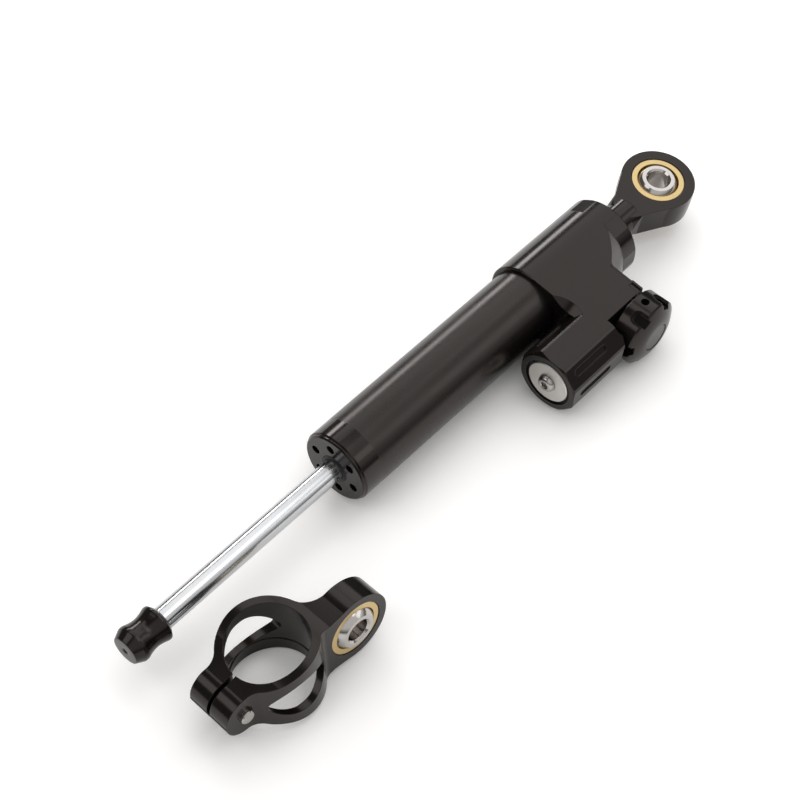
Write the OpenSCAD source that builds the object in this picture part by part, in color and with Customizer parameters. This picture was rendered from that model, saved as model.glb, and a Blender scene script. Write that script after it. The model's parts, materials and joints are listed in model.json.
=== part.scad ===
// Motorcycle steering damper: a through-rod hydraulic damper with a side chamber,
// a damping knob, a ball-jointed eye and a loose split clamp for the tube.
// Millimetres. The origin is the centre of the eye's ball. X runs along the damper
// towards the eye, and Z points up from the floor that the damper lies on.

/* [Hydraulics] */
// Stroke of the rod
stroke = 75; // [50:1:120]
// Bore that the piston runs in
bore_d = 20; // [18:0.5:24]
// Diameter of the rod
rod_d = 8; // [7:0.5:10]
// Length of the piston
piston_l = 14; // [10:0.5:20]
// Free length left at each end of the stroke
bump_gap = 3.25; // [2:0.25:6]
// Wall of the inner tube
inner_wall = 1.2; // [0.8:0.1:2]
// Oil gap between the inner and the outer tube
annulus = 0.8; // [0.6:0.1:2]
// Wall of the outer tube
tube_wall = 1.5; // [1:0.1:3]

/* [Front cap] */
// Thickness of the cap's flange in front of the tube
flange_t = 1; // [0.8:0.1:2]
// Step from the tube's outside in to the flange's rim
flange_step = 0.45; // [0.2:0.05:0.8]
// Depth of the cap's plug in the tube
cap_plug_l = 9; // [8:0.5:14]
// Depth of the spigots that centre the inner tube
spigot_l = 4.25; // [4:0.25:6]
// Diameter of a pin spanner hole
pin_d = 3.3; // [2.5:0.1:4]
// Depth of a pin spanner hole
pin_depth = 3.5; // [2:0.5:4]
// Number of pin spanner holes
pin_count = 6; // [4:1:8]
// Metal left between the wiper's pocket and the pin holes
pin_gap = 1.8; // [1:0.1:2.2]

/* [Seals] */
// Radial thickness of a rod bush
bush_wall = 1.2; // [1:0.1:1.6]
// Length of a rod bush
bush_l = 6; // [4:0.5:6.5]
// Radial thickness of a rod seal
seal_wall = 3; // [2.4:0.1:3.4]
// Length of a rod seal
seal_l = 3.6; // [3:0.1:4]
// Radial thickness of a wiper ring
wiper_wall = 1.4; // [1.3:0.1:1.8]
// Length of a wiper ring
wiper_l = 2.5; // [2:0.1:3]
// Section diameter of the large sealing rings
oring_d = 1.5; // [1.2:0.1:1.8]
// Section diameter of the sealing ring round the tube
thin_oring_d = 1; // [0.8:0.1:1.1]

/* [Head] */
// Depth of the tube in the head's sleeve
tube_seat = 31; // [29:0.5:36]
// Wall of the sleeve round the tube
sleeve_wall = 1.7; // [1.6:0.1:3]
// Length of the rear guide's seat behind the tube
guide_seat = 10; // [8:0.5:14]
// Thickness of the sleeve's rear wall
rear_wall = 5.4; // [5:0.1:9]
// Depth of the rear guide inside the tube
guide_in = 15; // [13:0.5:16]
// Length of the block that joins the sleeve to the side chamber
block_l = 26.5; // [26:0.1:29]
// Length of the side chamber in front of the head
chamber_out = 21.6; // [20:0.1:30]
// Bore of the side chamber
reservoir_d = 18.8; // [17:0.2:20]
// Wall of the side chamber
chamber_wall = 2.1; // [1.8:0.1:2.5]
// Gap between the tube and the side chamber
chamber_gap = 3.3; // [3:0.1:6]
// Step out of the side chamber's two flats that face the tube
inner_step = 0.6; // [0.4:0.1:0.8]
// Width of the cut at each of the side chamber's eight corners, along a flat
corner_cut = 0.6; // [0.3:0.1:0.9]
// Length of a wrench flat at the sleeve's rear
flat_l = 9; // [6:0.5:12]
// Depth of a wrench flat
flat_depth = 0.33; // [0.2:0.01:0.6]
// Length of the turned flare behind the block
flare_l = 11.5; // [8:0.5:13]
// Rise of the flare from the sleeve to the block
flare_rise = 6; // [4:0.5:8]

/* [Side chamber pieces] */
// Thickness of the chamber's end plug
plug_l = 5.6; // [5:0.1:8]
// Depth of the retaining ring behind the chamber's front face
clip_depth = 0.4; // [0.3:0.1:1]
// Thickness of the retaining ring
clip_t = 0.9; // [0.7:0.1:1.2]
// Radial width of the retaining ring
clip_w = 1.3; // [1.1:0.1:1.6]
// Diameter of the bleed screw's head
bleed_head_d = 6.6; // [6.4:0.1:8]
// Length of the floating piston
float_l = 5.2; // [4.8:0.1:6]
// Way that the floating piston can move each way
float_way = 3; // [2:0.5:4]

/* [Damping knob] */
// Diameter of the knob
knob_d = 25.8; // [22:0.2:28]
// Height of the knob's rim
knob_rim = 8.3; // [7:0.1:10]
// Height of the dome above the rim
knob_dome = 3.1; // [2:0.1:4]
// Diameter of the flat cap in the knob's face
knob_cap_d = 11; // [9:0.2:13]
// Number of grip flutes
flutes = 6; // [4:1:8]
// Width of a flute
flute_w = 5.2; // [4:0.2:6]
// Depth of a flute
flute_depth = 2.3; // [1:0.1:2.6]
// Length of a flute along the knob's axis
flute_l = 5; // [4:0.1:6]
// Distance of the knob's axis from the block's rear face
knob_back = 6.1; // [6:0.1:7.5]
// Height of the knob's seat beyond the side chamber's axis
seat_up = 2.6; // [2:0.1:5]
// Gap round the knob in its pocket
pocket_gap = 1.6; // [1:0.1:2]
// Diameter of the adjuster spindle
spindle_d = 6; // [5:0.2:6.4]

/* [Ball joints] */
// Bore of a ball
ball_bore_d = 8; // [6:0.5:10]
// Diameter of a ball
ball_d = 17.4; // [16:0.2:18]
// Width of a ball
ball_w = 12.4; // [11.2:0.2:12.6]
// Wall of a brass race
race_wall = 1.4; // [1.2:0.1:2.5]
// Width of the eye's brass race
race_w = 10.4; // [9:0.2:12]
// Wall of the eye round its race
eye_wall = 4; // [2.5:0.1:5]
// Thickness of the eye
eye_t = 10.8; // [10.6:0.1:14]
// Diameter of the eye's stem
stem_d = 13.2; // [12:0.2:14]
// Distance from the stem's front face to the ball's centre
stem_reach = 29.5; // [27:0.5:36]
// Turn of the eye about the rod, as it lies
eye_turn = 5.2; // [0:0.1:20]

/* [Rod end] */
// Length of the spool on the rod's front end
spool_l = 14.9; // [12:0.1:20]
// Diameter of the spool's rims
spool_d = 13; // [12:0.2:16]
// Diameter of the spool's waist
spool_waist_d = 11.2; // [10.6:0.2:11.6]

/* [Tube clamp] */
// Wall of the clamp's ring
clamp_wall = 2.8; // [2:0.1:4]
// Height of the ring at the top of its arch
clamp_h = 24.7; // [22:0.1:30]
// Distance from the tube's axis to the clamp's ball
clamp_reach = 26.5; // [26:0.1:32]
// Wall of the clamp's lug round its race
lug_wall = 2.9; // [2:0.1:4]
// Thickness of the lug
lug_t = 9.4; // [8.6:0.1:11]
// Step from the tube's axis to the lug's inner face
lug_step = 0.65; // [-1:0.05:2]
// Radius of the pinch boss
boss_r = 7.5; // [6:0.1:9]
// Width of the pinch boss
boss_w = 16.8; // [14:0.1:20]
// Diameter of the pinch screw
pinch_d = 5; // [4:0.5:5]
// Width of the slit that the pinch screw closes
slit_w = 1.4; // [1:0.1:2]
// Place of the clamp on the floor along the damper, from the ball's centre
clamp_x = -241; // [-260:0.1:-200]
// Place of the clamp on the floor beside the rod
clamp_y = -34.9; // [-60:0.1:-32]
// Turn of the clamp on the floor
clamp_yaw = -3.4; // [-10:0.1:10]
// Lean of the clamp towards the rod
clamp_lean = 3.3; // [0:0.1:5]
// Rise of the clamp towards its lug
clamp_rise = 0.5; // [0:0.1:4]

/* [Hidden] */
$fn = 64;
fit = 0.02;
run = 0.05;
over = 1;
cham = 0.5;

rod_r = rod_d / 2;
bore_r = bore_d / 2;
inner_r = bore_r + inner_wall;
tube_in = inner_r + annulus;
tube_r = tube_in + tube_wall;
inner_x = cap_plug_l;
piston_x = inner_x + spigot_l + bump_gap;
inner_end = piston_x + piston_l + stroke + bump_gap + spigot_l;
tube_l = inner_end + guide_in;

bush_r = rod_r + bush_wall;
seal_r = rod_r + seal_wall;
wiper_r = rod_r + wiper_wall;
oring_r = oring_d / 2;
groove_w = oring_d + 0.4;
wiper_back = wiper_l + 0.2;
pin_r = pin_d / 2;
pin_circle = wiper_r + pin_gap + pin_r;
pin_phase = 16.9;

sleeve_x = tube_l - tube_seat;
sleeve_r = tube_r + sleeve_wall;
guide_r = tube_r - 1.1;
guide_end = tube_l + guide_seat;
head_end = guide_end + rear_wall;
nose_r = rod_r + 3.95;
nose_gap = 0.4;
guide_tip = head_end - nose_gap;
block_end = sleeve_x + block_l;
rear_cham = 1.3;

chamber_x = sleeve_x - chamber_out;
reservoir_r = reservoir_d / 2;
chamber_ap = reservoir_r + chamber_wall;
chamber_y = tube_r + chamber_gap + chamber_ap;
chamber_l = block_end - chamber_x;
web_slope = asin((sleeve_r - chamber_ap) / chamber_y);
floor_z = -sleeve_r;

knob_r = knob_d / 2;
knob_x = block_end - knob_back;
seat_y = chamber_y + seat_up;
knob_gap = 1.1;
knob_y = seat_y + knob_gap;
knob_h = knob_rim + knob_dome;
pocket_r = knob_r + pocket_gap;
knob_edge = knob_y + knob_rim;
rest_roll = asin(sleeve_r / norm([knob_edge, knob_r])) - atan2(knob_r, knob_edge);
cap_t = 1.2;
cap_sink = 0.15;
cap_r = knob_cap_d / 2;
cap_seat = knob_h - cap_t - cap_sink;
flute_phase = 58;
grub_r = 1.5;
grub_out = 1.5;
grub_up = 4;
grub_turn = flute_phase + 180 / flutes;
spindle_r = spindle_d / 2;
spindle_top = cap_seat - 1;
gland_r = spindle_r + 2;
gland_l = 8;
gland_in = seat_y - gland_l;
spindle_groove = 3;
needle_r = 1.5;
needle_tail = 5;
needle_l = 6;
needle_tip = 1.6;
port_r = 1.3;
valve_end = gland_in - needle_l - 0.6;
detent_r = 1.5;
detent_up = 7.4;
detent_l = 6;
detent_sides = 12;
dimple = 0.5;

pocket_wall = 1.2;
reservoir_l = knob_x - pocket_r - pocket_wall - chamber_x;
clip_x = chamber_x + clip_depth;
plug_x = clip_x + clip_t + 0.05;
bleed_r = 2;
bleed_head = 2.1;
bleed_l = plug_l + 1;
bleed_sink = 0.15;
clip_out_r = reservoir_r + clip_w / 3 - fit;
clip_in_r = clip_out_r - clip_w;
plug_face = chamber_x + 0.05;
bleed_seat = plug_face + bleed_sink;
hex_key = 2.5;
float_x = chamber_x + reservoir_l - float_way - 0.5 - float_l;
spring_x = plug_x + plug_l + 0.2;
spring_l = float_x - 0.2 - spring_x;

ball_r = ball_d / 2;
ball_bore_r = ball_bore_d / 2;
race_r = ball_r + race_wall;
race_lip = 0.85;
eye_r = race_r + eye_wall;
eye_bulge = 0.15;
neck_r = eye_r - eye_bulge - 0.15;
stem_r = stem_d / 2;
eye_gap = 1.3;
stem_x = head_end + eye_gap;
eye_reach = stem_x + stem_reach;
neck_x = 1.265 * eye_r;
neck_cone = 4.5;
thread_l = stem_reach - eye_r - 0.6;

spool_r = spool_d / 2;
spool_waist_r = spool_waist_d / 2;
spool_back = -flange_t - stroke - 3.5;
spool_front = spool_back - spool_l;
spool_wall = 3;
rod_x = spool_front + spool_wall;
rod_end = stem_x + thread_l;

clip_ring_t = 0.8;
clip_ring_cut = 0.6;
ring_w = 4;
ring_t = 1.2;
piston_r = bore_r - 0.2;

clamp_r = tube_r + clamp_wall;
arch_mid = 7.6;
arch_r = 50;
boss_x = tube_r + pinch_d / 2 + 1.6;
lug_r = race_r + lug_wall;
lug_in = lug_step;
lug_out = lug_in + lug_t;
win_half_h = 7.2;
win_end_x = 7.9;
win_end_r = 3.5;
relief_h = win_half_h + 0.3;
relief_r = tube_r + 0.3;
boss_fillet = 6;
lug_fillet = 9;
near_fillet = 4;
pinch_head_r = 0.85 * pinch_d;
pinch_head_l = pinch_d;
pinch_out = 1.5;
clamp_z = floor_z + clamp_h / 2 + clamp_r * sin(clamp_lean);

anodised = "#2b2727";
chrome = "#cfd2d6";
steel = "#b9bbbe";
brass = "#b08d45";
rubber = "#141414";
bronze = "#8c6f3c";
polymer = "#3d2f24";
silver = "#c9c6bf";

// Frames of the assembly

// The damper as it lies: rolled until the sleeve and the knob's rim touch the floor
module damper() {
    rotate([rest_roll, 0, 0])
        translate([-eye_reach, 0, 0])
            children();
}

// A piece that goes round the rod and turns with the eye
module on_rod() {
    damper()
        rotate([eye_turn, 0, 0])
            children();
}

// Axis of the side chamber, which lies on the -Y side of the tube
module on_chamber() {
    translate([0, -chamber_y, 0])
        children();
}

// Axis of the knob, square to the tube and pointing away from it, from distance d
module on_knob(d) {
    translate([knob_x, -d, 0])
        rotate([90, 0, 0])
            children();
}

// The clamp's own frame: X along it, Z along its bore
module on_clamp() {
    translate([clamp_x, clamp_y, clamp_z])
        rotate([-clamp_lean, -clamp_rise, clamp_yaw])
            children();
}

// Shapes that repeat

// A turned piece: points are [radius, distance along X]
module turned(points) {
    rotate([0, 90, 0])
        rotate_extrude()
            polygon(points);
}

// A ring along X
module ring_x(x, l, r_out, r_in) {
    turned([[r_in, x], [r_out, x], [r_out, x + l], [r_in, x + l]]);
}

// A ring with a chamfer on both rims, along Z
module ring_z(r_out, r_in, w, c) {
    rotate_extrude()
        polygon([
            [r_in, -w / 2], [r_out - c, -w / 2], [r_out, c - w / 2],
            [r_out, w / 2 - c], [r_out - c, w / 2], [r_in, w / 2]
        ]);
}

// A round sealing ring about X, centred at x
module oring_x(x, r_mid, r) {
    translate([x, 0, 0])
        rotate([0, 90, 0])
            rotate_extrude()
                translate([r_mid, 0])
                    circle(r);
}

// A section drawn in Y and Z, carried along X
module along_x(x, l) {
    translate([x, 0, 0])
        rotate([90, 0, 90])
            linear_extrude(l)
                children();
}

// A hexagon socket, across flats af, sunk from z = 0 downwards
module hex_socket(af, depth) {
    translate([0, 0, -depth])
        cylinder(r = af / 2 / cos(30), h = depth + over, $fn = 6);
}

// Tube and front cap

module outer_tube() {
    color(anodised)
        damper()
            difference() {
                turned([
                    [tube_in, 0], [tube_r - cham, 0], [tube_r, cham],
                    [tube_r, tube_l], [tube_in, tube_l]
                ]);
                on_knob(tube_in - over)
                    cylinder(r = port_r, h = tube_wall + 2 * over);
            }
}

module inner_tube() {
    ports = 4;
    port_x = inner_x + spigot_l + bump_gap / 2;
    color(silver)
        damper()
            difference() {
                ring_x(inner_x, inner_end - inner_x, inner_r, bore_r);
                for (i = [0 : ports - 1])
                    rotate([360 / ports * i, 0, 0])
                        translate([port_x, 0, bore_r - over])
                            cylinder(r = bump_gap / 3, h = inner_wall + 2 * over);
            }
}

module front_cap() {
    plug_r = tube_in - fit;
    floor_r = tube_in - oring_d - 2 * fit;
    groove_x = (cap_plug_l - groove_w) / 2;
    flange_r = tube_r - flange_step;
    seal_x = cap_plug_l + spigot_l - seal_l;
    bush_x = seal_x - bush_l;
    color(anodised)
        damper()
            difference() {
                turned([
                    [wiper_r + fit, -flange_t], [flange_r - cham, -flange_t],
                    [flange_r, cham - flange_t], [flange_r, 0], [plug_r, 0],
                    [plug_r, groove_x], [floor_r, groove_x],
                    [floor_r, groove_x + groove_w], [plug_r, groove_x + groove_w],
                    [plug_r, cap_plug_l], [bore_r - fit, cap_plug_l],
                    [bore_r - fit, cap_plug_l + spigot_l], [seal_r + fit, cap_plug_l + spigot_l],
                    [seal_r + fit, seal_x], [bush_r + fit, seal_x], [bush_r + fit, bush_x],
                    [rod_r + 0.3, bush_x], [rod_r + 0.3, wiper_back - flange_t],
                    [wiper_r + fit, wiper_back - flange_t]
                ]);
                for (i = [0 : pin_count - 1])
                    rotate([pin_phase + 360 / pin_count * i, 0, 0])
                        translate([-flange_t - over, pin_circle, 0])
                            rotate([0, 90, 0])
                                cylinder(r = pin_r, h = pin_depth + over);
            }
}

module front_bush() {
    color(bronze)
        damper()
            ring_x(cap_plug_l + spigot_l - seal_l - bush_l, bush_l, bush_r, rod_r + run);
}

module front_rod_seal() {
    color(rubber)
        damper()
            ring_x(cap_plug_l + spigot_l - seal_l, seal_l, seal_r, rod_r + run);
}

// The wiper's lip stands a little proud of the cap and tapers to the rod
module front_wiper() {
    lip = 0.35;
    color(rubber)
        damper()
            turned([
                [rod_r + run, -flange_t - lip], [rod_r + run + lip, -flange_t - lip],
                [wiper_r - lip, -flange_t], [wiper_r, -flange_t],
                [wiper_r, wiper_l - flange_t], [rod_r + run, wiper_l - flange_t]
            ]);
}

module front_cap_oring() {
    color(rubber)
        damper()
            oring_x(cap_plug_l / 2, tube_in - fit - oring_r, oring_r);
}

// Head: sleeve, block and side chamber in one piece

// The side chamber's eight flats, seen from the front, as [angle from the outer side upwards,
// distance from the axis], with the first one again at the end
function chamber_flats() =
    let (top = 90 - web_slope, inner = 136, far = chamber_ap + inner_step)
    [[0, chamber_ap], [top / 2, chamber_ap], [top, chamber_ap], [inner, far], [180, chamber_ap],
        [360 - inner, far], [360 - top, chamber_ap], [360 - top / 2, chamber_ap], [360, chamber_ap]];

// Corner between two neighbouring flats f and g, moved by d along the flat at angle a
function flat_corner(f, g, a, d) =
    let (turn = sin(g[0] - f[0]))
    [
        (g[1] * sin(f[0]) - f[1] * sin(g[0])) / turn + d * sin(a),
        (g[1] * cos(f[0]) - f[1] * cos(g[0])) / turn + d * cos(a)
    ];

// Section of the side chamber: eight flats round the bore, with cut corners
module chamber_section() {
    flats = chamber_flats();
    polygon([
        for (i = [0 : 7])
            for (end = [0, 1])
                flat_corner(flats[i], flats[i + 1], flats[i + end][0], (2 * end - 1) * corner_cut)
    ]);
}

// Turned chamfer round the side chamber's front rim
module front_rim_cut() {
    rim = chamber_ap - 0.15;
    steep = 1.75;
    back = 1.5;
    turned([
        [rim - steep, chamber_x - 1], [rim + steep * back, chamber_x + back],
        [rim + steep * back, chamber_x - 1]
    ]);
}

// Section of the web: the two planes that touch both the sleeve and the chamber's flats
module web_section(reach) {
    top = 90 - web_slope;
    sleeve_p = sleeve_r * [-cos(top), sin(top)];
    slope = tan(web_slope);
    far = [-reach, sleeve_p[1] + (sleeve_p[0] + reach) * -slope];
    polygon([sleeve_p, far, [far[0], -far[1]], [sleeve_p[0], -sleeve_p[1]]]);
}

// Turned flare from the block's rear face into the sleeve, between the web's two planes
module block_flare() {
    wide = sleeve_r + flare_rise;
    steep = flare_rise / flare_l;
    past = 2;
    intersection() {
        along_x(block_end - over, flare_l + past)
            web_section(wide + over);
        turned([
            [0, block_end - over], [wide, block_end - over], [wide, block_end],
            [sleeve_r - steep * past, block_end + flare_l + past], [0, block_end + flare_l + past]
        ]);
    }
}

// One shallow wrench flat at the sleeve's rear
module wrench_flat() {
    translate([head_end - flat_l, -sleeve_r, sleeve_r - flat_depth])
        cube([flat_l + over, 2 * sleeve_r, flat_depth + over]);
}

// Shallow oblong groove on flat f of the side chamber, moved up along the flat by rise
module flat_groove(f, x, l, rise = 0) {
    groove_r = 1.3;
    sink = 0.5;
    rotate([-f[0], 0, 0])
        translate([x, sink - f[1], rise])
            rotate([90, 0, 0])
                linear_extrude(sink + over)
                    union() {
                        translate([groove_r, -groove_r])
                            square([l - 2 * groove_r, 2 * groove_r]);
                        for (end = [groove_r, l - groove_r])
                            translate([end, 0])
                                circle(groove_r);
                    }
}

// Slanting scoop along the web's upper front edge, between the sleeve and the side chamber
module web_scoop() {
    scoop_r = 16;
    sag = 3;
    slant = 50;
    rotate([web_slope, 0, 0])
        translate([sleeve_x + sag, chamber_ap - chamber_y, sleeve_r])
            rotate([0, slant, 0])
                translate([-scoop_r, 0, 0])
                    cylinder(r = scoop_r, h = 4 * scoop_r, center = true);
}

module head_solid() {
    turned([
        [tube_r + fit, sleeve_x], [sleeve_r - cham, sleeve_x], [sleeve_r, sleeve_x + cham],
        [sleeve_r, head_end - rear_cham], [sleeve_r - rear_cham, head_end], [nose_r + fit, head_end],
        [nose_r + fit, guide_end], [guide_r + fit, guide_end], [guide_r + fit, tube_l],
        [tube_r + fit, tube_l]
    ]);
    difference() {
        union() {
            difference() {
                along_x(sleeve_x, block_l)
                    web_section(chamber_y);
                web_scoop();
            }
            block_flare();
            on_chamber()
                along_x(chamber_x, chamber_l)
                    chamber_section();
        }
        translate([sleeve_x - over, 0, 0])
            rotate([0, 90, 0])
                cylinder(r = sleeve_r - sleeve_wall / 2, h = head_end - sleeve_x);
    }
}

module head() {
    groove_l = chamber_out - 5;
    flats = chamber_flats();
    tail_flats = 6;
    flat_phase = 28;
    thin_x = sleeve_x + 4;
    color(anodised)
        damper()
            difference() {
                head_solid();
                for (i = [0 : tail_flats - 1])
                    rotate([flat_phase + 360 / tail_flats * i, 0, 0])
                        wrench_flat();
                oring_groove_in(thin_x, thin_oring_d, tube_r);
                on_chamber() {
                    translate([chamber_x - over, 0, 0])
                        rotate([0, 90, 0])
                            cylinder(r = reservoir_r, h = reservoir_l + over);
                    ring_x(clip_x, clip_t + 0.1, clip_out_r + fit, reservoir_r - over);
                    front_rim_cut();
                    flat_groove(flats[0], chamber_x + 4, groove_l);
                    flat_groove(flats[1], chamber_x + 4, groove_l, 0.8);
                    flat_groove(flats[7], chamber_x + 4, groove_l);
                    flat_groove(flats[3], chamber_x + 4, groove_l - 3);
                }
                knob_pocket();
                valve_bore();
                rear_slot();
            }
}

// Groove inside a bore for a sealing ring of section d
module oring_groove_in(x, d, r) {
    w = d + 0.3;
    ring_x(x - w / 2, w, r + d + 2 * fit, r - over);
}

// Round pocket in the side of the head that the knob turns in, with a milled lobe at its upper front
module knob_pocket() {
    lobe_r = 4.3;
    lobe_x = -0.68 * pocket_r;
    lobe_up = 0.72 * pocket_r;
    on_knob(seat_y)
        cylinder(r = pocket_r, h = knob_h + chamber_ap);
    on_knob(seat_y)
        translate([lobe_x, lobe_up, 0])
            cylinder(r = lobe_r, h = knob_h + chamber_ap);
}

// Cross bore for the needle valve, its passages and the detent's blind hole
module valve_bore() {
    on_knob(gland_in)
        cylinder(r = gland_r + fit, h = gland_l + over);
    on_knob(valve_end)
        cylinder(r = needle_r + 0.9, h = gland_in - valve_end + over);
    on_knob(tube_r - over)
        cylinder(r = port_r, h = valve_end - tube_r + 2 * over);
    translate([chamber_x + reservoir_l - over, -valve_end - 2, 0])
        rotate([0, 90, 0])
            cylinder(r = port_r, h = knob_x - chamber_x - reservoir_l + over);
    on_knob(seat_y - detent_l)
        translate([0, detent_up, 0])
            cylinder(r = detent_r + run, h = detent_l + over);
}

// Slot in the block's top face along its rear edge, and the rebate that runs from it to the flare
module rear_slot() {
    slot_w = 2;
    slot_l = 7.6;
    sink = 0.6;
    edge = 0.9;
    slot_from = chamber_y - 3.3;
    rebate_w = 1.3;
    rebate_l = 9;
    rotate([web_slope, 0, 0]) {
        translate([block_end - edge - slot_w, -slot_from - slot_l, sleeve_r - sink])
            cube([slot_w, slot_l, sink + over]);
        translate([block_end - rebate_w, -slot_from + 0.6, sleeve_r - sink])
            cube([rebate_w + over, rebate_l, sink + over]);
    }
}

// Rear guide and its seals

module rear_guide() {
    floor_r = guide_r - oring_d - fit;
    groove_x = tube_l + (guide_seat - groove_w) / 2;
    seal_x = inner_end - spigot_l;
    bush_x = seal_x + seal_l;
    wiper_x = guide_tip - wiper_back;
    color(silver)
        damper()
            turned([
                [seal_r + fit, seal_x], [bore_r - fit, seal_x], [bore_r - fit, inner_end],
                [tube_in - fit, inner_end], [tube_in - fit, tube_l], [guide_r, tube_l],
                [guide_r, groove_x], [floor_r, groove_x], [floor_r, groove_x + groove_w],
                [guide_r, groove_x + groove_w], [guide_r, guide_end], [nose_r, guide_end],
                [nose_r, guide_tip], [wiper_r + fit, guide_tip], [wiper_r + fit, wiper_x],
                [rod_r + 0.3, wiper_x], [rod_r + 0.3, bush_x + bush_l],
                [bush_r + fit, bush_x + bush_l], [bush_r + fit, bush_x], [seal_r + fit, bush_x]
            ]);
}

module rear_bush() {
    color(bronze)
        damper()
            ring_x(inner_end - spigot_l + seal_l, bush_l, bush_r, rod_r + run);
}

module rear_rod_seal() {
    color(rubber)
        damper()
            ring_x(inner_end - spigot_l, seal_l, seal_r, rod_r + run);
}

module rear_wiper() {
    color(rubber)
        damper()
            ring_x(guide_tip - wiper_l, wiper_l, wiper_r, rod_r + run);
}

module rear_guide_oring() {
    color(rubber)
        damper()
            oring_x(tube_l + guide_seat / 2, guide_r - oring_r, oring_r);
}

module tube_oring() {
    thin_r = thin_oring_d / 2;
    color(rubber)
        damper()
            oring_x(sleeve_x + 4, tube_r + fit + thin_r, thin_r);
}

// Side chamber: plug, retaining ring, bleed screw and floating piston

module reservoir_plug() {
    plug_r = reservoir_r - fit;
    boss_r = clip_in_r - 0.15;
    rim = 0.3;
    floor_r = reservoir_r - oring_d - 2 * fit;
    groove_x = plug_x + (plug_l - groove_w) / 2;
    color(silver)
        damper()
            on_chamber()
                turned([
                    [bleed_head_d / 2 + 0.15, plug_face], [boss_r - rim, plug_face],
                    [boss_r, plug_face + rim], [boss_r, plug_x], [plug_r, plug_x],
                    [plug_r, groove_x], [floor_r, groove_x],
                    [floor_r, groove_x + groove_w], [plug_r, groove_x + groove_w],
                    [plug_r, plug_x + plug_l], [bleed_r + fit, plug_x + plug_l],
                    [bleed_r + fit, bleed_seat + 1], [bleed_r + 1, bleed_seat + 1],
                    [bleed_r + 1, bleed_seat], [bleed_head_d / 2 + 0.15, bleed_seat]
                ]);
}

module reservoir_plug_oring() {
    color(rubber)
        damper()
            on_chamber()
                oring_x(plug_x + plug_l / 2, reservoir_r - fit - oring_r, oring_r);
}

// Open ring that sits in a groove of the bore, with its gap at the upper inner side
module reservoir_circlip() {
    gap_w = 4;
    gap_turn = 130;
    color(rubber)
        damper()
            on_chamber()
                difference() {
                    ring_x(clip_x + 0.05, clip_t, clip_out_r, clip_in_r);
                    rotate([-gap_turn, 0, 0])
                        translate([clip_x - over, -2 * reservoir_r, -gap_w / 2])
                            cube([clip_t + 2 * over, 2 * reservoir_r, gap_w]);
                }
}

// Button-head screw with a hexagon socket, head to the front
module bleed_screw() {
    head_r = bleed_head_d / 2;
    front = bleed_seat - bleed_head;
    color(steel)
        damper()
            on_chamber()
                difference() {
                    turned([
                        [0, front], [head_r * 0.55, front], [head_r * 0.9, front + 0.45 * bleed_head],
                        [head_r, front + 0.8 * bleed_head], [head_r, bleed_seat],
                        [bleed_r, bleed_seat], [bleed_r, plug_x + bleed_l],
                        [0, plug_x + bleed_l]
                    ]);
                    translate([front, 0, 0])
                        rotate([0, -90, 0])
                            hex_socket(hex_key, 0.8 * bleed_head);
                }
}

module bleed_seal() {
    color(rubber)
        damper()
            on_chamber()
                ring_x(bleed_seat + fit, 1 - 2 * fit, bleed_r + 1 - fit, bleed_r + fit);
}

module floating_piston() {
    float_r = reservoir_r - run;
    floor_r = float_r - oring_d;
    groove_x = float_x + (float_l - groove_w) / 2;
    cup_r = reservoir_r - 3;
    color(silver)
        damper()
            on_chamber()
                turned([
                    [0, float_x + 2], [cup_r, float_x + 2], [cup_r, float_x], [float_r, float_x],
                    [float_r, groove_x], [floor_r, groove_x], [floor_r, groove_x + groove_w],
                    [float_r, groove_x + groove_w], [float_r, float_x + float_l],
                    [0, float_x + float_l]
                ]);
}

module floating_piston_oring() {
    color(rubber)
        damper()
            on_chamber()
                oring_x(float_x + float_l / 2, reservoir_r - run - oring_r, oring_r);
}

// Coil spring inside the side chamber, shown as the sleeve that its turns fill
module reservoir_spring() {
    spring_r = reservoir_r - 0.8;
    wire = 1.2;
    color(steel)
        damper()
            on_chamber()
                ring_x(spring_x, spring_l, spring_r, spring_r - wire);
}

// Needle valve and damping knob

module valve_gland() {
    color(brass)
        damper()
            on_knob(gland_in)
                difference() {
                    cylinder(r = gland_r, h = gland_l - fit);
                    translate([0, 0, -over])
                        cylinder(r = spindle_r + run, h = gland_l + 2 * over);
                    translate([0, 0, spindle_groove])
                        cylinder(r = spindle_r + run + oring_r, h = groove_w);
                }
}

module spindle_oring() {
    color(rubber)
        damper()
            on_knob(gland_in + spindle_groove + groove_w / 2)
                rotate_extrude()
                    translate([spindle_r - oring_r / 2, 0])
                        circle(oring_r);
}

// Hollow end takes the needle's tail, waist takes the sealing ring
module adjuster_spindle() {
    floor_r = spindle_r - 1.5 * oring_r - fit;
    low = 0.3;
    top = knob_y + spindle_top - gland_in;
    color(steel)
        damper()
            on_knob(gland_in)
                rotate_extrude()
                    polygon([
                        [needle_r + run, low], [spindle_r, low], [spindle_r, spindle_groove],
                        [floor_r, spindle_groove], [floor_r, spindle_groove + groove_w],
                        [spindle_r, spindle_groove + groove_w], [spindle_r, top], [0, top],
                        [0, low + needle_tail + 2], [needle_r + run, low + needle_tail + 2]
                    ]);
}

module valve_needle() {
    color(steel)
        damper()
            on_knob(gland_in)
                rotate_extrude()
                    polygon([
                        [0, -needle_l], [0.4, -needle_l], [needle_r, needle_tip - needle_l],
                        [needle_r, needle_tail], [0, needle_tail]
                    ]);
}

// Outline of half the knob: flat back, chamfered rim and a dome that rises to the cap
function dome_points() =
    let (steps = 8, edge = 0.5, drop = knob_dome - edge, run_in = knob_r - edge - cap_r)
    [for (i = [0 : steps]) [knob_r - edge - run_in * (1 - cos(90 * i / steps)) ^ 0.62,
        knob_rim + edge + drop * sin(90 * i / steps) ^ 1.15]];

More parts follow.
